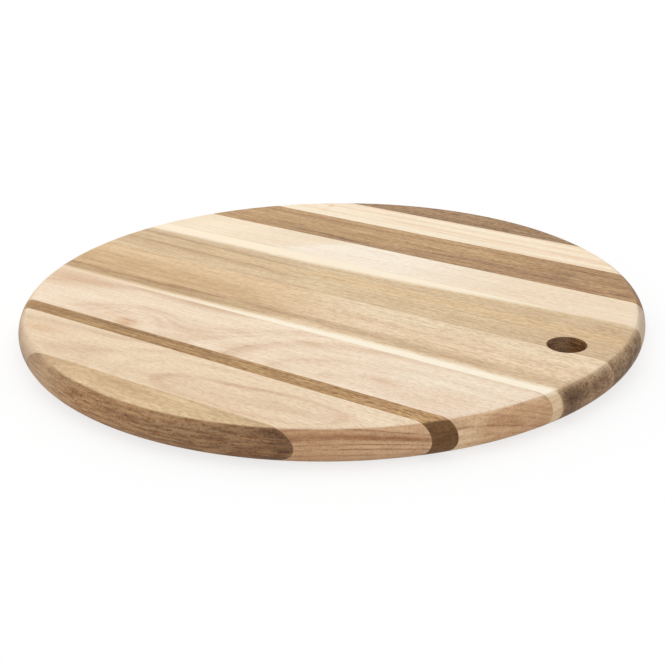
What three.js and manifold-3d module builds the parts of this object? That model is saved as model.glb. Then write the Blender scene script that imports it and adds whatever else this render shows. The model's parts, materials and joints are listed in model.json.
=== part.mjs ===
// Round cutting board, glued edge to edge from staves of pale, tan and brown wood.
// The panel is glued up first, then cut round, bull-nosed at the rim and drilled for hanging,
// so the rim profile and the hole run on unbroken from stave to stave.
// Units are millimetres. The origin is the centre of the underside. +Z is up, +X runs along
// the grain towards the hanging hole, and +Y runs across the staves towards the back.
import * as THREE from "three";
import { mergeVertices, toCreasedNormals } from "three/addons/utils/BufferGeometryUtils.js";
import Module from "manifold-3d";

const wasm = await Module();
wasm.setup();

// Driving dimensions of the round board
const boardDiameter = 340;
const boardThickness = 18;
const topRoundDepth = 7; // how far the upper rounding reaches in from the rim
const topRoundHeight = 8.5; // how far it reaches down from the work face
const bottomRoundDepth = 9.5; // how far the lower rounding reaches in from the rim

// Hanging hole, drilled straight through
const holeDiameter = 20;
const holeRimMargin = 19.2; // wood left between the hole and the rim
const holeOffset = 2.7; // from the centre line towards the back

// Glue joints. The middle joint is the one nearest the centre of the board.
const glueThickness = 0.15;
const middleJointOffset = 5.2; // from the centre line towards the front

// Stave widths from the front rim inwards
const frontSegmentWidth = 21.8;
const frontPaleStaveWidth = 38.8;
const darkStripeWidth = 9.9;
const figuredStaveWidth = 45.4;

// Stave widths from the back rim inwards
const rearSegmentWidth = 28.2;
const creamStaveWidth = 31.2;
const brownStaveWidth = 36.9;
const rearPaleStaveWidth = 31.1;

// Facets of the round forms
const rimSegments = 144;
const holeSegments = 48;
const roundSteps = 6; // along each quarter of the rim profile
const creaseAngle = Math.PI / 7; // sharper edges stay crisp when shaded

// Colours and finish of the oiled wood
const paleColour = 0xead2b5;
const creamColour = 0xf7e3c8;
const tanColour = 0xd8ba95;
const brownColour = 0xb89775;
const darkColour = 0xae8c68;
const glueColour = 0x9c8058;
const oiledRoughness = 0.5;
const glueRoughness = 0.6;

// Sizes that follow from the driving dimensions
const boardRadius = boardDiameter / 2;
const bottomRoundHeight = boardThickness - topRoundHeight;
const holeRadius = holeDiameter / 2;
const holeReach = boardRadius - holeRimMargin - holeRadius; // from the board's centre
const holePlace = new THREE.Vector2(Math.sqrt(holeReach ** 2 - holeOffset ** 2), holeOffset);
const sawnLength = boardDiameter + boardThickness; // staves are sawn longer than the round needs
const sawnHeight = boardThickness * 2; // and thicker than the planed board

// The two staves beside the middle joint take up what the others leave
const frontWidths = frontSegmentWidth + frontPaleStaveWidth + darkStripeWidth + figuredStaveWidth;
const rearWidths = rearSegmentWidth + creamStaveWidth + brownStaveWidth + rearPaleStaveWidth;
const tanStaveWidth = boardRadius - middleJointOffset - frontWidths;
const holeStaveWidth = boardRadius + middleJointOffset - rearWidths;

// The staves from front to back
const staves = [
  { name: "front_segment", width: frontSegmentWidth, colour: tanColour },
  { name: "front_pale_stave", width: frontPaleStaveWidth, colour: paleColour },
  { name: "dark_stripe", width: darkStripeWidth, colour: darkColour },
  { name: "figured_stave", width: figuredStaveWidth, colour: paleColour },
  { name: "tan_stave", width: tanStaveWidth, colour: tanColour },
  { name: "hole_stave", width: holeStaveWidth, colour: tanColour },
  { name: "rear_pale_stave", width: rearPaleStaveWidth, colour: creamColour },
  { name: "brown_stave", width: brownStaveWidth, colour: brownColour },
  { name: "cream_stave", width: creamStaveWidth, colour: creamColour },
  { name: "rear_segment", width: rearSegmentWidth, colour: darkColour },
];

// A closed three.js geometry as a solid that can be cut
function solidOf(geometry) {
  geometry.deleteAttribute("normal");
  geometry.deleteAttribute("uv");
  const merged = mergeVertices(geometry);
  const corners = merged.index.array;
  const triangles = [];
  for (let i = 0; i < corners.length; i += 3) {
    const [a, b, c] = corners.slice(i, i + 3);
    const collapsed = a === b || b === c || c === a; // as on the axis of a revolved form
    if (!collapsed) triangles.push(a, b, c);
  }
  const mesh = new wasm.Mesh({
    numProp: 3,
    vertProperties: Float32Array.from(merged.attributes.position.array),
    triVerts: Uint32Array.from(triangles),
  });
  return new wasm.Manifold(mesh);
}

// A finished solid as a named mesh with a material of its own
function pieceOf(name, solid, colour, roughness) {
  const { vertProperties, triVerts } = solid.getMesh();
  const geometry = new THREE.BufferGeometry();
  geometry.setAttribute("position", new THREE.BufferAttribute(vertProperties, 3));
  geometry.setIndex(new THREE.BufferAttribute(triVerts, 1));
  const material = new THREE.MeshStandardMaterial({ color: colour, roughness, metalness: 0 });
  const piece = new THREE.Mesh(toCreasedNormals(geometry, creaseAngle), material);
  piece.name = name;
  return piece;
}

// One quarter of the rim profile, as radius and height, around the level of the widest point
function quarterRound(depth, height, startAngle, endAngle) {
  const centre = boardRadius - depth;
  const arc = new THREE.EllipseCurve(centre, bottomRoundHeight, depth, height, startAngle, endAngle);
  return arc.getPoints(roundSteps);
}

// The whole round panel with its bull-nosed rim, before it is told apart into staves
function roundPanel() {
  const lower = quarterRound(bottomRoundDepth, bottomRoundHeight, -Math.PI / 2, 0);
  const upper = quarterRound(topRoundDepth, topRoundHeight, 0, Math.PI / 2);
  const underside = new THREE.Vector2(0, 0);
  const workFace = new THREE.Vector2(0, boardThickness);
  const profile = [underside, ...lower, ...upper.slice(1), workFace];
  return solidOf(new THREE.LatheGeometry(profile, rimSegments).rotateX(Math.PI / 2));
}

function hangingHole() {
  const drill = new THREE.CylinderGeometry(holeRadius, holeRadius, sawnHeight, holeSegments);
  drill.rotateX(Math.PI / 2);
  drill.translate(holePlace.x, holePlace.y, boardThickness / 2);
  return solidOf(drill);
}

// A sawn slab across the whole panel, between two planes parallel to the joints
function slab(front, back) {
  const outline = new THREE.Shape();
  outline.moveTo(-sawnLength / 2, front);
  outline.lineTo(sawnLength / 2, front);
  outline.lineTo(sawnLength / 2, back);
  outline.lineTo(-sawnLength / 2, back);
  outline.closePath();
  const sawn = new THREE.ExtrudeGeometry(outline, { depth: sawnHeight, bevelEnabled: false });
  sawn.translate(0, 0, (boardThickness - sawnHeight) / 2);
  return solidOf(sawn);
}

// The joint behind each stave but the last, as its distance across the board from the centre
function jointPlanes() {
  const planes = [];
  let edge = -boardRadius;
  for (const { width } of staves.slice(0, -1)) {
    edge += width;
    planes.push(edge);
  }
  return planes;
}

const panel = roundPanel().subtract(hangingHole());
const joints = jointPlanes();
const sawCuts = [-sawnLength / 2, ...joints, sawnLength / 2]; // the end staves run out past the rim
const board = new THREE.Group();

// Each stave gives up half a glue line at both of its joints
for (const [index, { name, colour }] of staves.entries()) {
  const front = sawCuts[index] + glueThickness / 2;
  const back = sawCuts[index + 1] - glueThickness / 2;
  board.add(pieceOf(name, panel.intersect(slab(front, back)), colour, oiledRoughness));
}

// A glue line that the hole cuts through is left as two films, one on each side of it
for (const [index, joint] of joints.entries()) {
  const film = panel.intersect(slab(joint - glueThickness / 2, joint + glueThickness / 2));
  const films = film.decompose();
  films.sort((a, b) => a.boundingBox().min[0] - b.boundingBox().min[0]);
  for (const [place, part] of films.entries()) {
    const side = films.length > 1 ? ["_long", "_short"][place] : "";
    board.add(pieceOf(`glue_line_${index + 1}${side}`, part, glueColour, glueRoughness));
  }
}

export default board;
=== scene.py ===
"""Looks of a round cutting board, glued edge to edge from staves of pale, tan and brown wood.

Each CAD node is replaced by a finer mesh of the same size. The wood is a solid material: growth rings
around a pith that lies somewhere in or below each stave, so the figure on the work face, the joints
and the end grain on the rim belong together. Lengths in the materials are in millimetres.
"""

import json
import math
from dataclasses import dataclass

import bmesh
import bpy
from mathutils import Matrix, Vector


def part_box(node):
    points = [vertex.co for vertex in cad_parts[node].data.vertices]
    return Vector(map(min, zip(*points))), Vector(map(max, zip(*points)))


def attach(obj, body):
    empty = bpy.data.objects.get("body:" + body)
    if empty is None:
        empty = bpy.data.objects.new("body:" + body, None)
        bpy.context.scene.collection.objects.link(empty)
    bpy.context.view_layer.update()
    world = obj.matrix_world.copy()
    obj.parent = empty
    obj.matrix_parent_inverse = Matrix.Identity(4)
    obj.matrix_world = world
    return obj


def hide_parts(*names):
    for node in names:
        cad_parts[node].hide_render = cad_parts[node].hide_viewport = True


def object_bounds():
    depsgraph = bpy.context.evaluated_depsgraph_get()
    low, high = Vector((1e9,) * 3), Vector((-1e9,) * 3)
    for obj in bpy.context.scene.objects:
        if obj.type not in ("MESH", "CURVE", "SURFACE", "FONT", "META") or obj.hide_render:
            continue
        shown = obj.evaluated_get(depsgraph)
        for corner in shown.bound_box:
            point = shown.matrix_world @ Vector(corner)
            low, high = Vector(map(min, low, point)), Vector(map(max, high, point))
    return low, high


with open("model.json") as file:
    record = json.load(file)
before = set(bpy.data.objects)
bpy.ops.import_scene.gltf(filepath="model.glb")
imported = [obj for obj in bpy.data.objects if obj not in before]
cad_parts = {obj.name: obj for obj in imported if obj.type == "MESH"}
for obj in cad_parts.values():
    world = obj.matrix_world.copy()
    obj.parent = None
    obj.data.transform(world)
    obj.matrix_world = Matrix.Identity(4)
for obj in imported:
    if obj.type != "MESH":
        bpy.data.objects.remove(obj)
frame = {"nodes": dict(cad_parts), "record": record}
cad_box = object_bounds()

# Sizes in metres, from the frame
BOARD_RADIUS = cad_box[1].x
BOARD_THICKNESS = cad_box[1].z
HOLE_BOX = frame["record"]["physics"]["openings"][0]["box_m"]
HOLE_CENTRE = (Vector(HOLE_BOX[0]) + Vector(HOLE_BOX[1])) / 2

# Sizes in metres that the frame's boxes don't give
TOP_ROUND_DEPTH = 0.007
TOP_ROUND_HEIGHT = 0.0085
BOTTOM_ROUND_DEPTH = 0.0095
HOLE_RADIUS = 0.010
HOLE_EDGE_ROUND = 0.0002

# Fineness of the meshes
RIM_SEGMENTS = 480
ROUND_STEPS = 14
HOLE_SEGMENTS = 128
HOLE_ROUND_STEPS = 4
FLAT_MARGIN = 0.0008
SHARP_ANGLE = math.radians(32)

# The photograph's viewpoint
VIEW_AZIMUTH = math.radians(35.25)
VIEW_ELEVATION = math.radians(22.893)
VIEW_ROLL = math.radians(-0.851)
VIEW_DISTANCE = 0.7015
VIEW_TARGET = Vector((0.0098, -0.0134, 0.0001))
LENS = 69.46
SENSOR = 36.0

MILLIMETRES = 1000.0


def srgb(red, green, blue):
    """A colour as a screen shows it, from 0 to 255, as the linear numbers that shaders use."""
    linear = []
    for value in (red, green, blue):
        share = value / 255
        linear.append(share / 12.92 if share <= 0.04045 else ((share + 0.055) / 1.055) ** 2.4)
    return (*linear, 1.0)


# Meshes


def rim_profile():
    """Radius and height around the rim, from the work face down to the underside."""
    widest = BOARD_THICKNESS - TOP_ROUND_HEIGHT
    points = [(BOARD_RADIUS - TOP_ROUND_DEPTH - FLAT_MARGIN, BOARD_THICKNESS)]
    for step in range(ROUND_STEPS + 1):
        angle = math.pi / 2 * (1 - step / ROUND_STEPS)
        radius = BOARD_RADIUS - TOP_ROUND_DEPTH * (1 - math.cos(angle))
        points.append((radius, widest + TOP_ROUND_HEIGHT * math.sin(angle)))
    for step in range(1, ROUND_STEPS + 1):
        angle = math.pi / 2 * step / ROUND_STEPS
        radius = BOARD_RADIUS - BOTTOM_ROUND_DEPTH * (1 - math.cos(angle))
        points.append((radius, widest * (1 - math.sin(angle))))
    points.append((BOARD_RADIUS - BOTTOM_ROUND_DEPTH - FLAT_MARGIN, 0.0))
    return points


def hole_profile():
    """Radius and height of the drill's path, flared where the edge of the hole is eased."""
    over = BOARD_THICKNESS / 2
    points = [(HOLE_RADIUS + HOLE_EDGE_ROUND, BOARD_THICKNESS + over)]
    for step in range(HOLE_ROUND_STEPS + 1):
        angle = math.pi / 2 * step / HOLE_ROUND_STEPS
        radius = HOLE_RADIUS + HOLE_EDGE_ROUND * (1 - math.sin(angle))
        points.append((radius, BOARD_THICKNESS - HOLE_EDGE_ROUND * (1 - math.cos(angle))))
    lower = [(radius, BOARD_THICKNESS - height) for radius, height in reversed(points)]
    return points + lower


def revolve(profile, segments, centre=(0.0, 0.0)):
    """A closed turned form as a bmesh, from a profile that runs from its top face to its bottom face."""
    turned = bmesh.new()
    rings = []
    for radius, height in profile:
        ring = []
        for segment in range(segments):
            angle = math.tau * segment / segments
            x = centre[0] + radius * math.cos(angle)
            y = centre[1] + radius * math.sin(angle)
            ring.append(turned.verts.new((x, y, height)))
        rings.append(ring)
    for upper, lower in zip(rings, rings[1:]):
        for segment in range(segments):
            following = (segment + 1) % segments
            turned.faces.new((upper[segment], lower[segment], lower[following], upper[following]))
    turned.faces.new(rings[0])
    turned.faces.new(reversed(rings[-1]))
    bmesh.ops.recalc_face_normals(turned, faces=turned.faces)
    return turned


def cut_away(form, point, normal):
    """Cuts a closed bmesh by a plane, keeps what lies behind the plane and closes the cut."""
    everything = form.verts[:] + form.edges[:] + form.faces[:]
    bmesh.ops.bisect_plane(form, geom=everything, plane_co=point, plane_no=normal, clear_outer=True)
    open_edges = [edge for edge in form.edges if edge.is_boundary]
    if open_edges:
        bmesh.ops.edgeloop_fill(form, edges=open_edges)


def to_object(name, form):
    """A bmesh as an object, smooth over its curves and crisp at its arrises."""
    bmesh.ops.recalc_face_normals(form, faces=form.faces)
    mesh = bpy.data.meshes.new(name)
    form.to_mesh(mesh)
    form.free()
    mesh.shade_smooth()
    mesh.set_sharp_from_angle(angle=SHARP_ANGLE)
    piece = bpy.data.objects.new(name, mesh)
    bpy.context.scene.collection.objects.link(piece)
    return piece


def drill(piece, cutter):
    """Takes the drill's path out of a piece for good."""
    modifier = piece.modifiers.new("hanging hole", "BOOLEAN")
    modifier.operation = "DIFFERENCE"
    modifier.solver = "EXACT"
    modifier.object = cutter
    depsgraph = bpy.context.evaluated_depsgraph_get()
    drilled = bpy.data.meshes.new_from_object(piece.evaluated_get(depsgraph))
    piece.modifiers.clear()
    piece.data = drilled
    drilled.shade_smooth()
    drilled.set_sharp_from_angle(angle=SHARP_ANGLE)


def board_piece(node, panel, cutter):
    """The stretch of the round panel that a CAD node takes up, as a finer piece in its place."""
    low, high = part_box(node)
    form = panel.copy()
    if low.y > -BOARD_RADIUS + FLAT_MARGIN:
        cut_away(form, low, (0, -1, 0))
    if high.y < BOARD_RADIUS - FLAT_MARGIN:
        cut_away(form, high, (0, 1, 0))
    crossed = low.y < HOLE_CENTRE.y + HOLE_RADIUS and high.y > HOLE_CENTRE.y - HOLE_RADIUS
    if crossed and high.x < HOLE_CENTRE.x:
        cut_away(form, HOLE_CENTRE, (1, 0, 0))
    if crossed and low.x > HOLE_CENTRE.x:
        cut_away(form, HOLE_CENTRE, (-1, 0, 0))
    piece = to_object(f"fine_{node}", form)
    if crossed:
        drill(piece, cutter)
    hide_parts(node)
    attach(piece, "root")
    return piece


# Materials

# Numbers of a Mix node's sockets for its share, its two colours and its result
MIX_INPUTS = (0, 6, 7)
MIX_OUTPUT = 2


class Field:
    """A number or colour that varies over a surface. Arithmetic adds Math nodes to the material."""

    def __init__(self, tree, socket):
        self.tree = tree
        self.socket = socket

    def math(self, operation, *others):
        node = self.tree.nodes.new("ShaderNodeMath")
        node.operation = operation
        for socket, value in zip(node.inputs, (self, *others)):
            feed(self.tree, socket, value)
        return Field(self.tree, node.outputs[0])

    def __add__(self, other):
        return self.math("ADD", other)

    def __sub__(self, other):
        return self.math("SUBTRACT", other)

    def __mul__(self, other):
        return self.math("MULTIPLY", other)

    def __truediv__(self, other):
        return self.math("DIVIDE", other)

    def inverse(self):
        """What is missing to 1."""
        return (self * -1.0) + 1.0

    def smooth(self, low, high):
        """0 up to low, 1 from high on and a soft step between them. High may be the smaller one."""
        node = self.tree.nodes.new("ShaderNodeMapRange")
        node.interpolation_type = "SMOOTHSTEP"
        feed(self.tree, node.inputs["Value"], self)
        feed(self.tree, node.inputs["From Min"], low)
        feed(self.tree, node.inputs["From Max"], high)
        return Field(self.tree, node.outputs["Result"])

    def between(self, start, end, fade):
        """1 between two values, with soft ends."""
        begun = self.smooth(start - fade, start + fade)
        return begun * self.smooth(end - fade, end + fade).inverse()

    def hump(self, reach):
        """1 where the field is 0, falling off like a bell at about that reach."""
        scaled = self / reach
        return (scaled * scaled * -1.0).math("EXPONENT")


def feed(tree, socket, value):
    """Links a field to a socket, or sets a plain number or colour on it."""
    if isinstance(value, Field):
        tree.links.new(value.socket, socket)
    else:
        socket.default_value = value


def noise(x, y, z, detail=2.0, roughness=0.5):
    """Smooth noise from 0 to 1 with a wavelength of about 1 along each of three directions."""
    tree = x.tree
    place = tree.nodes.new("ShaderNodeCombineXYZ")
    for socket, value in zip(place.inputs, (x, y, z)):
        feed(tree, socket, value)
    node = tree.nodes.new("ShaderNodeTexNoise")
    tree.links.new(place.outputs[0], node.inputs["Vector"])
    node.inputs["Scale"].default_value = 1.0
    node.inputs["Detail"].default_value = detail
    node.inputs["Roughness"].default_value = roughness
    return Field(tree, node.outputs["Fac"])


def mix(share, first, second, blend="MIX"):
    """One colour blended into another by a field."""
    tree = share.tree
    node = tree.nodes.new("ShaderNodeMix")
    node.data_type = "RGBA"
    node.blend_type = blend
    for number, value in zip(MIX_INPUTS, (share, first, second)):
        feed(tree, node.inputs[number], value)
    return Field(tree, node.outputs[MIX_OUTPUT])


@dataclass
class Grain:
    """A noise in the wood: its lengths along, across and through the board, and how fine it is."""

    along: float
    across: float
    through: float
    detail: float = 2.0
    roughness: float = 0.5


# The board in millimetres, and a place that is always beyond it
RADIUS_MM = BOARD_RADIUS * MILLIMETRES
THICKNESS_MM = BOARD_THICKNESS * MILLIMETRES
BEYOND = 400.0

# Noises in the wood and the glue
RING_DRIFT = Grain(90.0, 30.0, 30.0, detail=1.0)
RING_RIPPLE = Grain(22.0, 6.0, 6.0)
RING_GAPS = Grain(40.0, 9.0, 9.0)
BORDER_WAVE = Grain(50.0, 12.0, 12.0, detail=3.0, roughness=0.6)
STREAK_GAPS = Grain(28.0, 3.0, 3.0, detail=3.0, roughness=0.7)
FIBRE_SWAY = Grain(80.0, 14.0, 14.0)
BANDS = Grain(170.0, 4.5, 4.5, detail=3.0, roughness=0.6)
TICKS = Grain(3.4, 0.9, 0.9, roughness=0.7)
SPECKS = Grain(1.6, 0.8, 0.8, roughness=0.6)
LAYERS = Grain(13.0, 8.0, 1.2, detail=4.0, roughness=0.75)
BLOTCHES = Grain(14.0, 5.0, 3.5, detail=3.0, roughness=0.65)
WALL_MOTTLE = Grain(8.0, 4.0, 1.6, detail=4.0, roughness=0.7)
GLUE_PATCHES = Grain(9.0, 9.0, 4.0, detail=3.0)
FIBRE_WIDTH = 1.4
FIBRE_DETAIL = 4.0
FIBRE_FINENESS = 0.75

# The values of the noises between which their marks set in
RING_GAP_STEP = (0.15, 0.65)
STREAK_GAP_STEP = (0.25, 0.6)
BAND_STEP = (0.3, 0.7)
FIBRE_STEP = (0.28, 0.72)
PORE_STEP = (0.38, 0.68)
FLECK_STEP = (0.32, 0.48)
SPECK_STEP = (0.48, 0.66)
LAYER_STEP = (0.42, 0.6)
BLOTCH_STEP = (0.42, 0.7)
WALL_MOTTLE_STEP = (0.36, 0.64)

# Evenly spaced growth rings: their uneven widths, how each one darkens and ends, and their strengths
RIPPLE_SHARE = 0.35
RING_JITTER = 0.9
RING_JITTER_PACE = 0.6
RING_DARKENS = (0.1, 0.8)
RING_ENDS = (0.8, 1.0)
RING_STRENGTH_PACE = 0.73
RING_STRENGTH_LENGTH = 150.0
RING_STRENGTH_HEIGHT = 60.0
RING_STRENGTH_STEP = (0.25, 0.7)

# How far fades, spots, sapwood and fibres wave, in millimetres
FADE_WAVE = 12.0
SPOT_WAVE_ALONG = 8.0
SPOT_WAVE_ACROSS = 3.0
SAPWOOD_WAVE = 3.0
SWAY = 2.4

# How far streaks and dark bands wave, in shares of their own reach
STREAK_WAVE = 1.5
LAYER_WAVE = 2.0

# Streaks, dark bands and painted shade in the end grain, and where sapwood turns from its left colour to its
# own
END_MARK_AND_SHADE_TINT = (0.50, 0.45, 0.42, 1.0)
LAYER_BROKEN = 0.6
SAPWOOD_FADE = (-150.0, 20.0)
SAPWOOD_CLEAR = 0.8

# How end grain sets in as the surface tilts, and softly where the grain meets the rim head on
RIM_TILT = (0.34, 0.53)
SOFT_RIM_TILT = (0.4, 0.9)
HEAD_ON = (0.90, 0.98)
HEAD_ON_SOFT = 0.6
SOFT_LEFT = (-62.0, -85.0)
END_GRAIN_TURN = (0.1, 0.8)
SIDE_GRAIN_SHARE = 0.8

# What the marks do to the colour, with the pores from the left end of the board to the right
GRAIN_TINT = (0.58, 0.46, 0.34, 1.0)
END_GRAIN_TINT = (0.42, 0.30, 0.20, 1.0)
FLECK_TINT = (1.30, 1.32, 1.34, 1.0)
PORES_LEFT = 0.8
PORES_RIGHT = 1.2
END_MARKS_SHARE = 0.62

# The wall of the hole, dark partly from the drill's scorch and partly as painted shade
BORE_SCORCH_AND_SHADE = srgb(104, 70, 36)
BORE_LIGHT = srgb(200, 154, 98)
BORE_GREY = srgb(188, 160, 130)
BORE_MARGIN = (0.3, 0.6)
BORE_GREY_RANGE = (1.0, -6.0)
BORE_GREY_SHARE = 0.7
BORE_TOP_SHARE = 0.4

# Surfaces
WOOD_ROUGHNESS = 0.45
FIBRE_ROUGHNESS = 0.2
END_ROUGHNESS = 0.1
GLUE_ROUGHNESS = 0.5
PATCH_ROUGHNESS = 0.2
DULL_GLOSS = 0.3
BUMP_STRENGTH = 0.3
BUMP_DEPTH = 0.00012
GLUE_DARK = srgb(196, 160, 118)
GLUE_LIGHT = srgb(222, 190, 150)
GLUE_ON_RIM = srgb(150, 118, 84)


@dataclass
class Streak:
    """A soft band of colour along the grain: its path along and across the board, and its reach."""

    path: tuple
    reach: float
    colour: tuple
    strength: float
    start: float = -BEYOND
    end: float = BEYOND
    fade: float = 30.0
    broken: float = 0.65


@dataclass
class Sapwood:
    """Pale outer wood along an edge of a stave: the path of its border, and the side that is pale."""

    path: tuple
    softness: float
    end_softness: float
    behind: bool
    left_colour: tuple
    colour: tuple
    end_colour: tuple


@dataclass
class Fade:
    """A slow change of colour along the grain, on the faces, on the end grain or on both. Some fades on the
    end grain are painted light and shade along the rim.

    The skew slants it about a level across the board. It hides a share of the end grain's marks.
    """

    start: float
    stop: float
    strength: float
    colour: tuple = None
    end_colour: tuple = None
    skew: float = 0.0
    level: float = 0.0
    hides: float = 0.0


@dataclass
class Spot:
    """A soft patch of colour on the face, such as a small knot: its place, its reach and its colour."""

    x: float
    y: float
    reach_x: float
    reach_y: float
    colour: tuple
    strength: float


@dataclass
class Ring:
    """One growth ring: its height in the log at the stave's middle line, its width and how dark it is."""

    height: float
    reach: float
    strength: float


@dataclass
class DarkEndBand:
    """A dark band in the end grain, for growth layers and for painted shade on a rim: its height, its rise
    across the board, and where it runs.
    """

    height: float
    reach: float
    strength: float
    tilt: float = 0.0
    x_range: tuple = (-BEYOND, BEYOND)
    y_range: tuple = (-BEYOND, BEYOND)
    fade: float = 6.0


@dataclass
class Knot:
    """A swelling of the growth rings around an ingrown twig: its place, its reach and its rise."""

    x: float
    y: float
    reach_x: float
    reach_y: float
    rise: float


@dataclass
class Wood:
    """How one stave was cut from its log, its colours, and how strongly each kind of mark shows.

    The axis is the line of the pith across the board: its place, its slope and its sweep. The rise
    lifts the log along the grain, and the lean carries streaks and sapwood sideways with depth.
    """

    slot: str
    early: tuple
    late: tuple
    end_early: tuple
    end_late: tuple
    axis: tuple
    pith_depth: float
    rise: tuple = ()
    rings: tuple = ()
    spacing: float = 3.0
    lines: float = 0.6
    knots: tuple = ()
    wander: float = 1.5
    bands: float = 0.2
    fibres: float = 0.3
    fibre_length: float = 24.0
    pores: float = 0.4
    flecks: float = 0.0
    mottle: float = 0.2
    layers: float = 0.2
    specks: float = 0.3
    grain_depth: float = 1.0
    lean: float = 0.0
    streaks: tuple = ()
    sapwood: tuple = ()
    fades: tuple = ()
    spots: tuple = ()
    dark_bands_and_shade: tuple = ()
    drilled: bool = False
    soft_left: float = 0.0
    seed: float = 0.0


@dataclass
class Looks:
    """A stave's colours on its faces and its end grain, and how much of its fine grain shows on each."""

    colour: Field
    end_colour: Field | tuple
    clear: Field | float = 1.0
    end_clear: Field | float = 1.0


def coordinates(tree, kind):
    """The three numbers of a place or a direction on the piece, as fields."""
    source = tree.nodes.new("ShaderNodeTexCoord")
    separate = tree.nodes.new("ShaderNodeSeparateXYZ")
    tree.links.new(source.outputs[kind], separate.inputs[0])
    return [Field(tree, output) for output in separate.outputs]


def place_on_board(tree):
    """The place on the board along the grain, across it and above the underside, in millimetres."""
    return [part * MILLIMETRES for part in coordinates(tree, "Object")]


def facing(tree):
    """How far the surface faces sideways at all, and how far of that is along the grain."""
    along, across, _ = coordinates(tree, "Normal")
    sideways = (along * along + across * across).math("SQRT")
    return sideways, along.math("ABSOLUTE") / sideways


def along_grain(x, points):
    """A smooth curve through points, each a place along the grain and a value there."""
    low = min(value for _, value in points)
    span = max(value for _, value in points) - low
    if span == 0.0:
        return low
    node = x.tree.nodes.new("ShaderNodeFloatCurve")
    curve = node.mapping.curves[0]
    shares = [((place / RADIUS_MM + 1.0) / 2.0, (value - low) / span) for place, value in points]
    curve.points[0].location = shares[0]
    curve.points[1].location = shares[-1]
    for share in shares[1:-1]:
        curve.points.new(*share)
    node.mapping.extend = "HORIZONTAL"
    node.mapping.update()
    feed(x.tree, node.inputs["Value"], x / (2.0 * RADIUS_MM) + 0.5)
    return Field(x.tree, node.outputs["Value"]) * span + low


def grain_noise(grain, x, y, z, seed=0.0):
    """A noise from 0 to 1 with a grain's lengths. Another seed gives another noise."""
    height = z / grain.through + seed
    return noise(x / grain.along, y / grain.across, height, grain.detail, grain.roughness)


def swing(grain, x, y, z, seed):
    """A noise around 0, from -0.5 to 0.5, with a grain's lengths."""
    return grain_noise(grain, x, y, z, seed) - 0.5


def ring_height(wood, x, y, z):
    """How high in the log a point lies, counted along the rings from the stave's middle line."""
    middle, slope, sweep = wood.axis
    across = y - middle - x * slope - x * x * sweep
    below = z - THICKNESS_MM + wood.pith_depth
    if wood.rise:
        below = below + along_grain(x, wood.rise)
    for knot in wood.knots:
        wide = (y - knot.y) / knot.reach_y
        hill = (x - knot.x).hump(knot.reach_x) * (wide * wide).hump(1.0)
        below = below + hill * knot.rise
    height = (across * across + below * below).math("SQRT") - wood.pith_depth
    drift = swing(RING_DRIFT, x, y, z, wood.seed)
    ripple = swing(RING_RIPPLE, x, y, z, wood.seed)
    return height + drift * wood.wander + ripple * (wood.wander * RIPPLE_SHARE)


def chosen_rings(wood, height, x, y, z):
    """How dark the growth ring is at a point, for a stave whose rings are listed."""
    shares = [(height - ring.height).hump(ring.reach) * ring.strength for ring in wood.rings]
    dark = shares[0]
    for share in shares[1:]:
        dark = dark.math("MAXIMUM", share)
    return dark * grain_noise(RING_GAPS, x, y, z, wood.seed).smooth(*RING_GAP_STEP)


def even_rings(wood, height, x, z):
    """How dark the growth ring is at a point, for a stave whose rings follow a spacing."""
    rings = height / wood.spacing
    rings = rings + noise(rings * RING_JITTER_PACE + wood.seed, 0.0, 0.0, detail=0.0) * RING_JITTER
    phase = rings.math("FRACT")
    which = rings.math("FLOOR") * RING_STRENGTH_PACE + wood.seed
    strength = noise(which, x / RING_STRENGTH_LENGTH, z / RING_STRENGTH_HEIGHT, detail=1.0)
    dark = phase.smooth(*RING_DARKENS) * phase.smooth(*RING_ENDS).inverse()
    return dark * strength.smooth(*RING_STRENGTH_STEP) * wood.lines


def add_fades(looks, wood, x, y, wave):
    """Changes the colours slowly along the grain, with painted light and shade on some rims."""
    for fade in wood.fades:
        along = x - (y - fade.level) * fade.skew + wave * FADE_WAVE
        share = along.smooth(fade.start, fade.stop) * fade.strength
        if fade.colour:
            looks.colour = mix(share, looks.colour, fade.colour)
        if fade.end_colour:
            looks.end_colour = mix(share, looks.end_colour, fade.end_colour)
            looks.end_clear = (share * fade.hides).inverse() * looks.end_clear


def add_spots(looks, wood, x, y, wave):
    """Puts soft patches on the faces."""
    for spot in wood.spots:
        along = (x - spot.x + wave * SPOT_WAVE_ALONG).hump(spot.reach_x)
        across = (y - spot.y + wave * SPOT_WAVE_ACROSS).hump(spot.reach_y)
        looks.colour = mix(along * across * spot.strength, looks.colour, spot.colour)


def add_streaks(looks, wood, x, level, wave, gap):
    """Draws streaks on the faces and darkens the end grain where they come out."""
    for streak in wood.streaks:
        offset = level - along_grain(x, streak.path) + wave * (streak.reach * STREAK_WAVE)
        run = x.between(streak.start, streak.end, streak.fade)
        share = offset.hump(streak.reach) * run * (gap * streak.broken).inverse() * streak.strength
        looks.colour = mix(share, looks.colour, streak.colour)
        looks.end_colour = mix(share, looks.end_colour, END_MARK_AND_SHADE_TINT, blend="MULTIPLY")


def add_dark_bands_and_shade(looks, wood, x, y, z, wave, gap):
    """Draws dark growth layers and painted shade on the end grain."""
    for layer in wood.dark_bands_and_shade:
        offset = z - layer.height - y * layer.tilt + wave * (layer.reach * LAYER_WAVE)
        share = offset.hump(layer.reach) * (gap * LAYER_BROKEN).inverse() * layer.strength
        share = share * x.between(*layer.x_range, layer.fade) * y.between(*layer.y_range, layer.fade)
        looks.end_colour = mix(share, looks.end_colour, END_MARK_AND_SHADE_TINT, blend="MULTIPLY")


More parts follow.
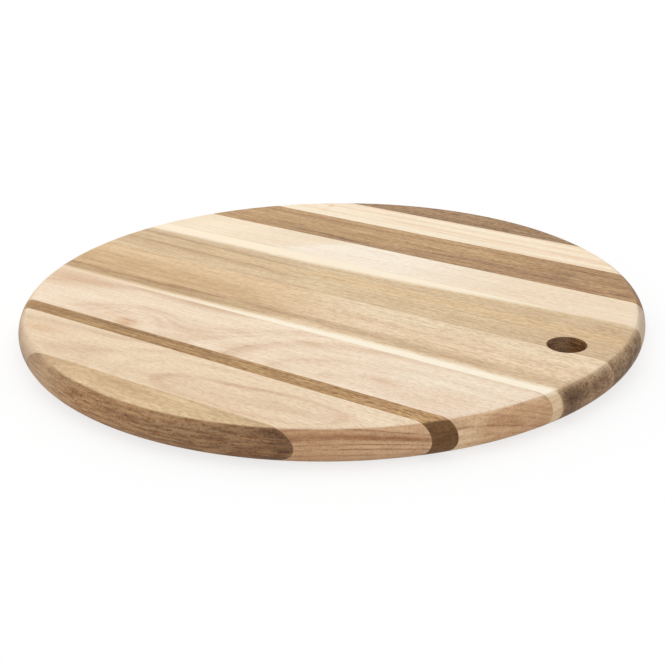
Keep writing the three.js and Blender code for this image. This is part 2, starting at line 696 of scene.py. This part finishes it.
def add_sapwood(looks, wood, x, level, wave):
    """Turns an edge of the stave into sapwood, in which little of the fine grain shows."""
    for sap in wood.sapwood:
        offset = level - along_grain(x, sap.path) + wave * SAPWOOD_WAVE
        if not sap.behind:
            offset = offset * -1.0
        sap_colour = mix(x.smooth(*SAPWOOD_FADE), sap.left_colour, sap.colour)
        share = offset.smooth(-sap.softness, sap.softness)
        looks.colour = mix(share, looks.colour, sap_colour)
        looks.clear = (share * SAPWOOD_CLEAR).inverse() * looks.clear
        end_share = offset.smooth(-sap.end_softness, sap.end_softness)
        looks.end_colour = mix(end_share, looks.end_colour, sap.end_colour)


def stave_looks(wood, x, y, z):
    """A stave's colours before its fine grain: rings, fades, spots, streaks, dark bands and sapwood, with
    painted light and shade on some rims.
    """
    height = ring_height(wood, x, y, z)
    late = chosen_rings(wood, height, x, y, z) if wood.rings else even_rings(wood, height, x, z)
    wave = swing(BORDER_WAVE, x, y, z, wood.seed)
    gap = grain_noise(STREAK_GAPS, x, y, z, wood.seed).smooth(*STREAK_GAP_STEP).inverse()
    level = y - (z - THICKNESS_MM) * wood.lean
    looks = Looks(mix(late, wood.early, wood.late), wood.end_early)
    add_fades(looks, wood, x, y, wave)
    looks.end_colour = mix(late * looks.end_clear, looks.end_colour, wood.end_late)
    add_spots(looks, wood, x, y, wave)
    add_streaks(looks, wood, x, level, wave, gap)
    add_dark_bands_and_shade(looks, wood, x, y, z, wave, gap)
    add_sapwood(looks, wood, x, level, wave)
    return looks


def end_grain_shares(wood, tree, x):
    """How far a point lies on the rim or in the hole, and how much of end grain shows there."""
    sideways, along = facing(tree)
    crisp = sideways.smooth(*RIM_TILT)
    soft = along.smooth(*HEAD_ON) * HEAD_ON_SOFT
    if wood.soft_left:
        soft = soft.math("MAXIMUM", x.smooth(*SOFT_LEFT) * wood.soft_left)
    rim = crisp + (sideways.smooth(*SOFT_RIM_TILT) - crisp) * soft
    turn = along.smooth(*END_GRAIN_TURN) * (1.0 - SIDE_GRAIN_SHARE) + SIDE_GRAIN_SHARE
    return rim, rim * turn


def hole_wall(x, y, z):
    """How close a point lies to the drilled wall, and that wall's colour: mottled, dark partly from the
    drill's scorch and partly as painted shade, greyer on its left side and darker in its upper half.
    """
    from_axis_x = x - HOLE_CENTRE.x * MILLIMETRES
    from_axis_y = y - HOLE_CENTRE.y * MILLIMETRES
    reach = (from_axis_x * from_axis_x + from_axis_y * from_axis_y).math("SQRT")
    bounds = [HOLE_RADIUS * MILLIMETRES + margin for margin in BORE_MARGIN]
    wall = reach.smooth(*bounds).inverse()
    colour = mix(grain_noise(WALL_MOTTLE, x, y, z).smooth(*WALL_MOTTLE_STEP), BORE_SCORCH_AND_SHADE, BORE_LIGHT)
    colour = mix(from_axis_x.smooth(*BORE_GREY_RANGE) * BORE_GREY_SHARE, colour, BORE_GREY)
    upper_half = z.smooth(THICKNESS_MM / 2.0, THICKNESS_MM)
    colour = mix(upper_half * BORE_TOP_SHARE, colour, BORE_SCORCH_AND_SHADE)
    return wall, colour


def end_grain_marks(wood, looks, band, x, y, z):
    """How dark the fine marks in the end grain are: bands, layers, blotches and specks."""
    layer = grain_noise(LAYERS, x, y, z, wood.seed).smooth(*LAYER_STEP)
    blotch = grain_noise(BLOTCHES, x, y, z, wood.seed).smooth(*BLOTCH_STEP)
    speck = grain_noise(SPECKS, x, y, z, wood.seed).smooth(*SPECK_STEP)
    marks = band * wood.bands + layer * wood.layers + blotch * wood.mottle * looks.clear
    return (marks * END_MARKS_SHARE + speck * wood.specks * looks.clear) * looks.end_clear


def new_material(name):
    """A material with a dull gloss, its node tree and its surface shader."""
    material = bpy.data.materials.new(name)
    material.use_nodes = True
    surface = material.node_tree.nodes["Principled BSDF"]
    surface.inputs["Specular IOR Level"].default_value = DULL_GLOSS
    return material, material.node_tree, surface


def wood_material(name, wood):
    """Oiled wood: rings, streaks, fibres and pores, with darker end grain on the rim and in the hole, the
    hole's wall darkened further partly as painted shade.
    """
    material, tree, surface = new_material(name)
    x, y, z = place_on_board(tree)
    rim, end = end_grain_shares(wood, tree, x)
    looks = stave_looks(wood, x, y, z)
    if wood.drilled:
        wall, wall_colour = hole_wall(x, y, z)
        looks.end_colour = mix(wall, looks.end_colour, wall_colour)
        end = end.math("MAXIMUM", wall * rim)

    across = y + swing(FIBRE_SWAY, x, y, z, wood.seed) * SWAY
    band = grain_noise(BANDS, x, across, z, wood.seed)
    fibres = Grain(wood.fibre_length, FIBRE_WIDTH, FIBRE_WIDTH, FIBRE_DETAIL, FIBRE_FINENESS)
    fibre = grain_noise(fibres, x, across, z, wood.seed)
    tick = grain_noise(TICKS, x, across, z, wood.seed)
    pore = tick.smooth(*PORE_STEP)

    pore_share = x.smooth(-RADIUS_MM, RADIUS_MM) * (PORES_RIGHT - PORES_LEFT) + PORES_LEFT
    face_marks = band.smooth(*BAND_STEP) * wood.bands + fibre.smooth(*FIBRE_STEP) * wood.fibres
    face_marks = (face_marks + pore * wood.pores * pore_share) * looks.clear
    end_marks = end_grain_marks(wood, looks, band, x, y, z)
    marks = face_marks + (end_marks - face_marks) * end
    face_tint = tuple(channel**wood.grain_depth for channel in GRAIN_TINT)
    colour = mix(end, looks.colour, looks.end_colour)
    colour = mix(marks, colour, mix(end, face_tint, END_GRAIN_TINT), blend="MULTIPLY")
    if wood.flecks:
        fleck = tick.smooth(*FLECK_STEP).inverse() * end.inverse()
        colour = mix(fleck * wood.flecks, colour, FLECK_TINT, blend="MULTIPLY")

    bump = tree.nodes.new("ShaderNodeBump")
    bump.inputs["Strength"].default_value = BUMP_STRENGTH
    bump.inputs["Distance"].default_value = BUMP_DEPTH
    feed(tree, bump.inputs["Height"], fibre - pore)
    tree.links.new(bump.outputs[0], surface.inputs["Normal"])
    feed(tree, surface.inputs["Base Color"], colour)
    roughness = fibre * FIBRE_ROUGHNESS + end * END_ROUGHNESS + WOOD_ROUGHNESS
    feed(tree, surface.inputs["Roughness"], roughness)
    return material


def glue_material():
    """Thin glue line: a dull film about as tan as the wood, a little uneven along its length."""
    material, tree, surface = new_material("glue line")
    x, y, z = place_on_board(tree)
    sideways, _ = facing(tree)
    patch = grain_noise(GLUE_PATCHES, x, y, z)
    colour = mix(patch, GLUE_DARK, GLUE_LIGHT)
    colour = mix(sideways.smooth(*RIM_TILT), colour, GLUE_ON_RIM)
    feed(tree, surface.inputs["Base Color"], colour)
    feed(tree, surface.inputs["Roughness"], patch * PATCH_ROUGHNESS + GLUE_ROUGHNESS)
    return material


# The staves from front to back, with places in millimetres from the middle of the board
WOODS = {
    "front_segment": Wood(
        slot="tan_wood",
        early=srgb(234, 206, 166),
        late=srgb(212, 180, 137),
        end_early=srgb(186, 140, 94),
        end_late=srgb(112, 80, 50),
        axis=(-156, -0.08, 0),
        pith_depth=110,
        rise=((-90, 4), (90, -4)),
        spacing=2.3,
        lines=0.5,
        streaks=(
            Streak(
                ((20, -152), (60, -151), (80, -150)),
                reach=2.6, colour=srgb(196, 166, 128), strength=0.8, start=34, fade=12,
            ),
            Streak(
                ((-80, -147), (-20, -152), (40, -157)),
                reach=3.4, colour=srgb(212, 180, 135), strength=0.8, end=25,
            ),
        ),
        fades=(
            # Painted shade: the end grain on the rim darker towards the right end.
            Fade(-60, 60, strength=0.85, end_colour=srgb(150, 105, 64)),
            Fade(-40, -78, strength=0.85, colour=srgb(196, 161, 127)),
            # Painted light: the end grain on the rim lighter at the left end, with fewer marks.
            Fade(-20, -70, strength=0.8, end_colour=srgb(194, 166, 132), hides=0.65),
            Fade(-25, 30, strength=0.8, colour=srgb(234, 210, 167)),
        ),
        fibres=0.28,
        pores=0.44,
        mottle=0.35,
        layers=1.15,
        specks=0.55,
        dark_bands_and_shade=(
            DarkEndBand(15.2, reach=1.3, strength=0.8, x_range=(36, 90), fade=14),
            DarkEndBand(13.4, reach=0.6, strength=0.7, x_range=(-10, 60), fade=14),
            DarkEndBand(11.6, reach=0.8, strength=0.75, x_range=(0, 90), fade=20),
            DarkEndBand(8.6, reach=0.8, strength=0.85, x_range=(38, 90), fade=12),
            DarkEndBand(6.6, reach=0.6, strength=0.7, x_range=(5, 70), fade=14),
            DarkEndBand(4.6, reach=0.9, strength=0.95, x_range=(66, 95), fade=8),
        ),
        seed=1.7,
    ),
    "front_pale_stave": Wood(
        slot="pale_wood",
        early=srgb(245, 223, 192),
        late=srgb(208, 170, 134),
        end_early=srgb(214, 176, 138),
        end_late=srgb(150, 98, 58),
        axis=(-137.5, 0.05, 0.0006),
        pith_depth=75,
        rise=(
            (-130, 3), (-68, 0.1), (-52, -0.4), (-38, -1.9), (-15, -5.1), (-4, -6.2), (10, -6.7),
            (35, -7), (60, -7.4), (80, -7), (95, -6.2), (106, -5.2), (118, -3.7), (130, -2),
        ),
        rings=(
            Ring(4, 0.9, 0.45),
            Ring(0, 0.8, 0.4),
            Ring(-3.2, 0.6, 0.2),
            Ring(-6.2, 0.3, 0.75),
            Ring(-6.6, 0.9, 0.3),
            Ring(-7.7, 0.35, 0.5),
            Ring(-8.3, 1.2, 0.85),
            Ring(-9, 0.5, 0.8),
            Ring(-11, 0.3, 0.8),
            Ring(-13.2, 0.35, 0.9),
            Ring(-16.5, 0.45, 0.6),
        ),
        wander=0.4,
        fades=(
            Fade(30, 110, strength=0.5, colour=srgb(250, 232, 205)),
            # Painted light: the end grain at the left end of the rim nearly white, without its marks.
            Fade(-60, -95, strength=0.95, end_colour=srgb(240, 245, 229), hides=1),
            Fade(120, 84, strength=0.75, end_colour=srgb(190, 146, 104)),
        ),
        spots=(
            Spot(35, -145, 42, 4, srgb(238, 212, 178), 0.8),
            Spot(-95, -125, 14, 4.5, srgb(227, 188, 147), 0.65),
            Spot(-25, -141, 28, 5, srgb(229, 204, 170), 0.5),
            Spot(72, -131.5, 14, 2.5, srgb(217, 184, 151), 0.4),
            Spot(94, -125, 9, 4, srgb(225, 184, 151), 0.4),
        ),
        bands=0.08,
        fibres=0.24,
        pores=0.3,
        mottle=0.15,
        layers=0.35,
        soft_left=1,
        # Painted shade: the middle and lower rim at the left end darker and greyer.
        dark_bands_and_shade=(DarkEndBand(7.5, reach=7, strength=0.95, x_range=(-180, -75), y_range=(-160, -80)),),
        seed=4.1,
    ),
    "dark_stripe": Wood(
        slot="dark_wood",
        early=srgb(210, 173, 116),
        late=srgb(163, 123, 75),
        end_early=srgb(122, 88, 48),
        end_late=srgb(96, 66, 34),
        axis=(-180, 0, 0),
        pith_depth=20,
        spacing=2.4,
        streaks=(
            Streak(
                ((-140, -106), (-60, -104), (30, -104)),
                reach=2.4, colour=srgb(158, 115, 67), strength=0.8, end=-90,
            ),
            Streak(
                ((-90, -102), (-20, -102)),
                reach=1.7, colour=srgb(143, 106, 66), strength=0.7, start=-90, end=-20,
            ),
            Streak(
                ((-80, -108.5), (-10, -108)),
                reach=1.5, colour=srgb(143, 106, 66), strength=0.8, start=-70, end=-15,
            ),
            Streak(
                ((-20, -105), (20, -103)),
                reach=1.6, colour=srgb(150, 112, 70), strength=0.7, start=-5, end=16, fade=8,
            ),
        ),
        fades=(
            Fade(50, 130, strength=0.6, colour=srgb(228, 189, 136)),
            # Painted light: the end grain at the left end of the rim lighter, with fewer marks.
            Fade(-105, -125, strength=0.9, end_colour=srgb(206, 172, 122), hides=0.7),
        ),
        fibres=0.52,
        pores=0.48,
        grain_depth=1.7,
        flecks=0.1,
        mottle=0.15,
        layers=0.7,
        seed=8.3,
    ),
    "figured_stave": Wood(
        slot="pale_wood",
        early=srgb(252, 233, 207),
        late=srgb(214, 177, 141),
        end_early=srgb(218, 178, 138),
        end_late=srgb(162, 114, 76),
        axis=(-99.5, 0, 0),
        pith_depth=125,
        rise=(
            (-165, 4.2), (-142, 2.9), (-100, 0.1), (-65, -0.6), (-30, -1.1), (-10, -2.5), (8, -5),
            (28, -8.8), (45, -10.9), (75, -12.8), (100, -13.8), (135, -14.2), (150, -13.2), (165, -10.5),
        ),
        knots=(
            Knot(-65, -99.5, 20, 30, -2.5),
            Knot(-63, -96.5, 8, 9, -1.2),
        ),
        rings=(
            Ring(6.9, 1.5, 0.75),
            Ring(0, 1.1, 0.35),
            Ring(0.45, 0.3, 0.5),
            Ring(-0.35, 0.3, 0.55),
            Ring(-1.4, 0.5, 0.45),
            Ring(-4.8, 1.5, 0.6),
            Ring(-4.4, 0.4, 0.8),
            Ring(-7.2, 0.4, 0.2),
            Ring(-9.6, 1.3, 0.35),
            Ring(-9.4, 0.4, 0.55),
            Ring(-11.8, 0.4, 0.45),
            Ring(-14.4, 0.7, 0.45),
            Ring(-17, 2.6, 0.45),
            Ring(-18.4, 0.6, 0.8),
            Ring(-22.5, 0.8, 0.35),
            Ring(-27, 0.9, 0.25),
        ),
        wander=0.4,
        fades=(
            Fade(20, 120, strength=0.5, colour=srgb(253, 237, 217)),
            # Painted light: the end grain at the left end of the rim lighter, with fewer marks.
            Fade(-110, -140, strength=0.8, end_colour=srgb(218, 186, 152), hides=0.8),
            Fade(149, 138, strength=0.9, end_colour=srgb(238, 207, 168)),
        ),
        spots=(
            Spot(-70, -93, 24, 7, srgb(232, 200, 165), 0.5),
            Spot(-66, -92.6, 6, 1.3, srgb(196, 144, 98), 0.6),
            Spot(-64, -96.2, 6, 2.6, srgb(224, 180, 133), 0.6),
            Spot(-43, -95, 9, 4, srgb(250, 234, 210), 0.6),
            Spot(-140, -61, 27, 11, srgb(220, 178, 136), 0.6),
            Spot(110, -90, 45, 6, srgb(242, 217, 191), 0.5),
            Spot(-22, -88, 16, 6, srgb(236, 207, 176), 0.5),
            Spot(88, -84, 9, 3, srgb(224, 187, 152), 0.6),
            Spot(125, -82, 16, 5, srgb(234, 205, 176), 0.5),
            Spot(105, -71, 22, 5, srgb(254, 245, 223), 0.5),
        ),
        bands=0.12,
        fibres=0.22,
        pores=0.28,
        layers=0.35,
        seed=2.9,
    ),
    "tan_stave": Wood(
        slot="tan_wood",
        early=srgb(227, 195, 148),
        late=srgb(208, 172, 127),
        end_early=srgb(178, 146, 110),
        end_late=srgb(124, 96, 68),
        axis=(-140, 0.012, 0),
        pith_depth=22,
        lines=0.2,
        streaks=(
            Streak(((-160, -25), (0, -28)), reach=8, colour=srgb(210, 175, 125), strength=0.4, end=-20),
            Streak(((-160, -34), (0, -35)), reach=5, colour=srgb(208, 172, 131), strength=0.5, end=0),
            Streak(
                ((-160, -43.5), (-100, -43), (-60, -41.5), (0, -40), (160, -36)),
                reach=2.6, colour=srgb(175, 137, 97), strength=0.9, end=30, fade=60,
            ),
            Streak(
                ((-160, -47.5), (-60, -46.5), (0, -44)),
                reach=2.4, colour=srgb(188, 159, 120), strength=0.8, end=-15,
            ),
            Streak(
                ((0, -41.5), (70, -41), (160, -41)),
                reach=4.4, colour=srgb(206, 177, 139), strength=0.75, start=20,
            ),
            Streak(((0, -24), (160, -23)), reach=1.6, colour=srgb(219, 186, 143), strength=0.2, start=20),
            Streak(
                ((-160, -11), (160, -11)),
                reach=8, colour=srgb(245, 216, 177), strength=0.6, end=-10, fade=50, broken=0,
            ),
            Streak(
                ((-160, -11), (160, -11)),
                reach=7, colour=srgb(253, 239, 209), strength=0.55, start=0, broken=0,
            ),
            Streak(
                ((130, -38), (170, -38)),
                reach=9, colour=srgb(153, 125, 94), strength=0.7, start=161, fade=3, broken=0.25,
            ),
        ),
        fades=(
            Fade(150, 200, strength=0.6, end_colour=srgb(206, 176, 140), skew=-4, level=-14),
            Fade(-90, 60, strength=0.85, colour=srgb(249, 227, 195)),
        ),
        sapwood=(
            Sapwood(
                path=((-160, -50.5), (-100, -50.5), (-20, -49.6), (60, -47.6), (130, -47.4), (160, -47.4)),
                softness=2.4,
                end_softness=1,
                behind=False,
                left_colour=srgb(240, 214, 184),
                colour=srgb(253, 242, 219),
                end_colour=srgb(230, 202, 164),
            ),
        ),
        drilled=True,
        bands=0.08,
        fibres=0.44,
        pores=0.38,
        mottle=0.7,
        layers=0.4,
        specks=0.8,
        dark_bands_and_shade=(DarkEndBand(12.4, reach=2.4, strength=0.7, x_range=(150, 180), y_range=(-48, -14)),),
        seed=5.6,
    ),
    "hole_stave": Wood(
        slot="tan_wood",
        early=srgb(238, 215, 177),
        late=srgb(217, 190, 150),
        end_early=srgb(174, 146, 112),
        end_late=srgb(112, 90, 66),
        axis=(-60, 0.02, 0),
        pith_depth=14,
        spacing=3.6,
        lines=0.4,
        streaks=(
            Streak(((-160, 28.5), (0, 28)), reach=4.5, colour=srgb(215, 189, 155), strength=0.55, end=-10),
            Streak(
                ((-155, 24.5), (-85, 22.6), (-28, 21.5)),
                reach=1.8, colour=srgb(184, 152, 114), strength=0.8, end=-40,
            ),
            Streak(
                ((-155, 11.5), (-100, 10.4), (-45, 8)),
                reach=2.2, colour=srgb(193, 159, 117), strength=0.8, end=-45,
            ),
            Streak(
                ((-140, 1), (-100, -1.4), (-40, -3.8), (160, -3)),
                reach=2.2, colour=srgb(212, 184, 148), strength=0.45,
            ),
            Streak(
                ((0, 25.5), (60, 28), (120, 30.5)),
                reach=3.8, colour=srgb(209, 181, 148), strength=0.35, start=10,
            ),
            Streak(
                ((60, 11), (110, 13), (160, 13)),
                reach=1, colour=srgb(187, 154, 114), strength=0.6, start=75, end=130,
            ),
            Streak(((0, 4), (160, 3)), reach=5, colour=srgb(224, 201, 167), strength=0.4, start=20),
            Streak(
                ((0, 19), (160, 20)),
                reach=4.5, colour=srgb(236, 207, 158), strength=0.6, start=-20, broken=0.2,
            ),
            Streak(
                ((-160, 17), (0, 15)),
                reach=3, colour=srgb(236, 209, 162), strength=0.6, start=-110, end=0, broken=0.2,
            ),
            Streak(((-160, 18), (-60, 20)), reach=4, colour=srgb(216, 187, 149), strength=0.6, end=-90),
            Streak(((-160, 7), (-60, 7)), reach=3, colour=srgb(215, 183, 145), strength=0.6, end=-60),
        ),
        sapwood=(
            Sapwood(
                path=((-160, 30.6), (-60, 30.8), (0, 32.4), (60, 36.4), (120, 41), (160, 43)),
                softness=3.2,
                end_softness=1.2,
                behind=True,
                left_colour=srgb(254, 238, 211),
                colour=srgb(253, 239, 213),
                end_colour=srgb(204, 184, 156),
            ),
        ),
        fades=(Fade(85, 150, strength=0.6, colour=srgb(220, 192, 154)),),
        spots=(Spot(-14, 2, 16, 5, srgb(242, 223, 188), 0.5),),
        drilled=True,
        lean=0.5,
        bands=0.12,
        fibres=0.52,
        pores=0.36,
        mottle=0.6,
        layers=0.7,
        specks=0.75,
        dark_bands_and_shade=(DarkEndBand(7.8, reach=2.4, strength=0.8, tilt=0.144, x_range=(150, 180), y_range=(-6, 44)),),
        seed=7.2,
    ),
    "rear_pale_stave": Wood(
        slot="cream_wood",
        early=srgb(255, 238, 211),
        late=srgb(236, 213, 180),
        end_early=srgb(200, 182, 160),
        end_late=srgb(186, 160, 132),
        axis=(52, 0, 0),
        pith_depth=160,
        rise=((-170, 8), (170, -8)),
        spacing=3.4,
        lines=0.4,
        fades=(
            Fade(-110, -70, strength=0.6, colour=srgb(247, 229, 202)),
            Fade(-60, -46, strength=0.9, colour=srgb(255, 244, 226), skew=1.2, level=58),
            Fade(-5, 100, strength=0.85, colour=srgb(245, 223, 193)),
        ),
        bands=0.1,
        fibres=0.18,
        pores=0.2,
        seed=3.3,
    ),
    "brown_stave": Wood(
        slot="brown_wood",
        early=srgb(215, 180, 131),
        late=srgb(185, 149, 103),
        end_early=srgb(160, 124, 88),
        end_late=srgb(124, 92, 64),
        axis=(150, 0, 0),
        pith_depth=36,
        spacing=3.2,
        streaks=(
            Streak(
                ((-130, 102), (0, 103), (60, 107), (130, 108)),
                reach=3, colour=srgb(175, 139, 95), strength=0.3,
            ),
            Streak(
                ((-160, 75), (160, 75.5)),
                reach=2.6, colour=srgb(167, 133, 99), strength=0.6, start=-80, end=90,
            ),
            Streak(
                ((-115, 98), (-60, 96.5), (0, 94.5), (60, 97)),
                reach=1.5, colour=srgb(225, 193, 145), strength=0.6, end=70,
            ),
            Streak(
                ((-140, 84), (0, 82), (40, 86), (80, 83), (115, 75)),
                reach=4, colour=srgb(169, 128, 95), strength=0.7, start=-10, end=115, fade=40,
            ),
            Streak(
                ((-105, 81.2), (-60, 79), (-20, 76), (0, 75.4)),
                reach=1.1, colour=srgb(117, 87, 58), strength=0.9, start=-92, end=-20, fade=20,
            ),
            Streak(
                ((-110, 86), (-80, 85.5)),
                reach=1.2, colour=srgb(146, 105, 71), strength=0.7, start=-102, end=-84, fade=8,
            ),
            Streak(
                ((80, 102.5), (130, 102.5)),
                reach=1, colour=srgb(148, 109, 75), strength=0.7, start=84, end=134, fade=10,
            ),
        ),
        fades=(Fade(20, 120, strength=0.5, colour=srgb(189, 151, 108)),),
        spots=(
            Spot(97, 94, 8, 2, srgb(148, 113, 79), 0.7),
            Spot(97, 86, 10, 2.5, srgb(154, 119, 84), 0.6),
            Spot(137, 80, 6, 1.5, srgb(130, 99, 66), 0.7),
        ),
        fibres=0.56,
        fibre_length=30,
        pores=0.42,
        grain_depth=1.5,
        flecks=0.15,
        mottle=0.5,
        layers=0.3,
        seed=9.8,
    ),
    "cream_stave": Wood(
        slot="cream_wood",
        early=srgb(255, 243, 218),
        late=srgb(254, 221, 185),
        end_early=srgb(226, 198, 160),
        end_late=srgb(198, 164, 124),
        axis=(60, 0, 0),
        pith_depth=30,
        spacing=2.6,
        lines=0.52,
        wander=2.6,
        streaks=(
            Streak(
                ((-90, 113), (40, 112), (120, 114)),
                reach=1.2, colour=srgb(239, 205, 169), strength=0.7, start=30,
            ),
            Streak(
                ((-90, 120.6), (0, 120), (110, 121)),
                reach=1.3, colour=srgb(246, 215, 179), strength=0.8,
            ),
            Streak(
                ((-90, 124.6), (0, 124), (110, 123.2)),
                reach=1.3, colour=srgb(239, 206, 171), strength=0.9, start=-40,
            ),
            Streak(
                ((-90, 131.6), (0, 132.4), (110, 132)),
                reach=1.5, colour=srgb(244, 212, 177), strength=0.9,
            ),
            Streak(((-90, 140.6), (100, 140.4)), reach=1.3, colour=srgb(248, 213, 179), strength=0.8),
        ),
        spots=(
            Spot(-91, 130, 2.5, 2.5, srgb(223, 186, 138), 0.7),
            Spot(-90, 121, 2.5, 2.5, srgb(240, 199, 156), 0.5),
        ),
        fades=(Fade(-20, 110, strength=0.7, colour=srgb(255, 237, 208)),),
        bands=0.1,
        fibres=0.2,
        fibre_length=36,
        pores=0.16,
        seed=6.5,
    ),
    "rear_segment": Wood(
        slot="dark_wood",
        early=srgb(194, 163, 121),
        late=srgb(160, 127, 91),
        end_early=srgb(126, 96, 68),
        end_late=srgb(86, 64, 44),
        axis=(200, 0, 0),
        pith_depth=40,
        spacing=2.6,
        lines=0.8,
        streaks=(
            Streak(((-60, 152), (60, 153)), reach=3, colour=srgb(189, 150, 103), strength=0.7),
            Streak(((-80, 143.5), (80, 143.5)), reach=1.5, colour=srgb(148, 127, 91), strength=0.6),
        ),
        fibres=0.52,
        fibre_length=30,
        pores=0.68,
        grain_depth=1.5,
        flecks=0.2,
        mottle=0.5,
        layers=0.3,
        seed=11.4,
    ),
}

panel = revolve(rim_profile(), RIM_SEGMENTS)
cutter = to_object("drill path", revolve(hole_profile(), HOLE_SEGMENTS, HOLE_CENTRE))
glue = glue_material()
for node in frame["nodes"]:
    piece = board_piece(node, panel, cutter)
    piece.data.materials.clear()
    if node in WOODS:
        piece.data.materials.append(wood_material(f"{node} wood", WOODS[node]))
    else:
        piece.data.materials.append(glue)
panel.free()
bpy.data.objects.remove(cutter)

# Floor, lights and camera

WHITE = (1.0, 1.0, 1.0, 1.0)
FLOOR_SIZE = 6.0
FLOOR_SHADE = 0.90
SHADOW_SHARE = 0.27
SHADOW_REACH = (0.19, 0.30)
WORLD_STRENGTH = 0.75
OVERHEAD_POWER = 8.0
OVERHEAD_SIZE = 1.6
OVERHEAD_PLACE = Vector((-0.25, 0.35, 1.5))
FRONT_POWER = 2.0
FRONT_SIZE = 1.0
FRONT_PLACE = Vector((-0.1, -1.15, 0.3))


def seen_directly(tree):
    """1 for what the camera sees by itself or in a gloss or through glass, and 0 for lighting."""
    path = tree.nodes.new("ShaderNodeLightPath")
    seen = Field(tree, path.outputs["Is Camera Ray"])
    seen = seen.math("MAXIMUM", Field(tree, path.outputs["Is Glossy Ray"]))
    return seen.math("MAXIMUM", Field(tree, path.outputs["Is Transmission Ray"]))


def make_floor():
    """A pale floor that looks white and keeps a faint shadow of the board."""
    form = bmesh.new()
    bmesh.ops.create_grid(form, x_segments=1, y_segments=1, size=FLOOR_SIZE / 2)
    mesh = bpy.data.meshes.new("floor")
    form.to_mesh(mesh)
    form.free()
    floor = bpy.data.objects.new("floor", mesh)
    bpy.context.scene.collection.objects.link(floor)
    material = bpy.data.materials.new("pale floor")
    material.use_nodes = True
    tree = material.node_tree
    tree.nodes.clear()
    seen = seen_directly(tree)
    place = tree.nodes.new("ShaderNodeTexCoord")
    length = tree.nodes.new("ShaderNodeVectorMath")
    length.operation = "LENGTH"
    tree.links.new(place.outputs["Object"], length.inputs[0])
    away = Field(tree, length.outputs["Value"]).smooth(*SHADOW_REACH)
    matte = tree.nodes.new("ShaderNodeBsdfDiffuse")
    grey = (FLOOR_SHADE, FLOOR_SHADE, FLOOR_SHADE, 1.0)
    feed(tree, matte.inputs["Color"], mix(seen, grey, WHITE))
    white = tree.nodes.new("ShaderNodeEmission")
    blend = tree.nodes.new("ShaderNodeMixShader")
    feed(tree, blend.inputs[0], seen * (away * SHADOW_SHARE + (1.0 - SHADOW_SHARE)))
    tree.links.new(matte.outputs[0], blend.inputs[1])
    tree.links.new(white.outputs[0], blend.inputs[2])
    output = tree.nodes.new("ShaderNodeOutputMaterial")
    tree.links.new(blend.outputs[0], output.inputs["Surface"])
    mesh.materials.append(material)


def make_world():
    """Even white surroundings: plain white to look at, softer as light."""
    world = bpy.data.worlds.new("studio")
    world.use_nodes = True
    tree = world.node_tree
    background = tree.nodes["Background"]
    background.inputs["Color"].default_value = WHITE
    strength = seen_directly(tree) * (1.0 - WORLD_STRENGTH) + WORLD_STRENGTH
    feed(tree, background.inputs["Strength"], strength)
    bpy.context.scene.world = world


def make_lamp(name, power, size, place):
    """A soft square lamp that points at the board."""
    lamp = bpy.data.lights.new(name, "AREA")
    lamp.energy = power
    lamp.size = size
    holder = bpy.data.objects.new(name, lamp)
    holder.location = place
    holder.rotation_mode = "QUATERNION"
    holder.rotation_quaternion = (-place).to_track_quat("-Z", "Y")
    bpy.context.scene.collection.objects.link(holder)


def make_camera():
    """The photograph's camera, turned a little about its own axis."""
    level = math.cos(VIEW_ELEVATION)
    back_x = math.sin(VIEW_AZIMUTH) * level
    back_y = -math.cos(VIEW_AZIMUTH) * level
    back = Vector((back_x, back_y, math.sin(VIEW_ELEVATION)))
    right = (-back).cross(Vector((0, 0, 1))).normalized()
    up = right.cross(-back)
    tilted_right = right * math.cos(VIEW_ROLL) + up * math.sin(VIEW_ROLL)
    tilted_up = up * math.cos(VIEW_ROLL) - right * math.sin(VIEW_ROLL)
    lens = bpy.data.cameras.new("camera")
    lens.lens = LENS
    lens.sensor_width = SENSOR
    camera = bpy.data.objects.new("camera", lens)
    turn = Matrix((tilted_right, tilted_up, back)).transposed().to_4x4()
    camera.matrix_world = Matrix.Translation(VIEW_TARGET + back * VIEW_DISTANCE) @ turn
    bpy.context.scene.collection.objects.link(camera)
    bpy.context.scene.camera = camera


make_floor()
make_world()
make_lamp("overhead", OVERHEAD_POWER, OVERHEAD_SIZE, OVERHEAD_PLACE)
make_lamp("front", FRONT_POWER, FRONT_SIZE, FRONT_PLACE)
make_camera()
bpy.context.scene.view_settings.view_transform = "Standard"
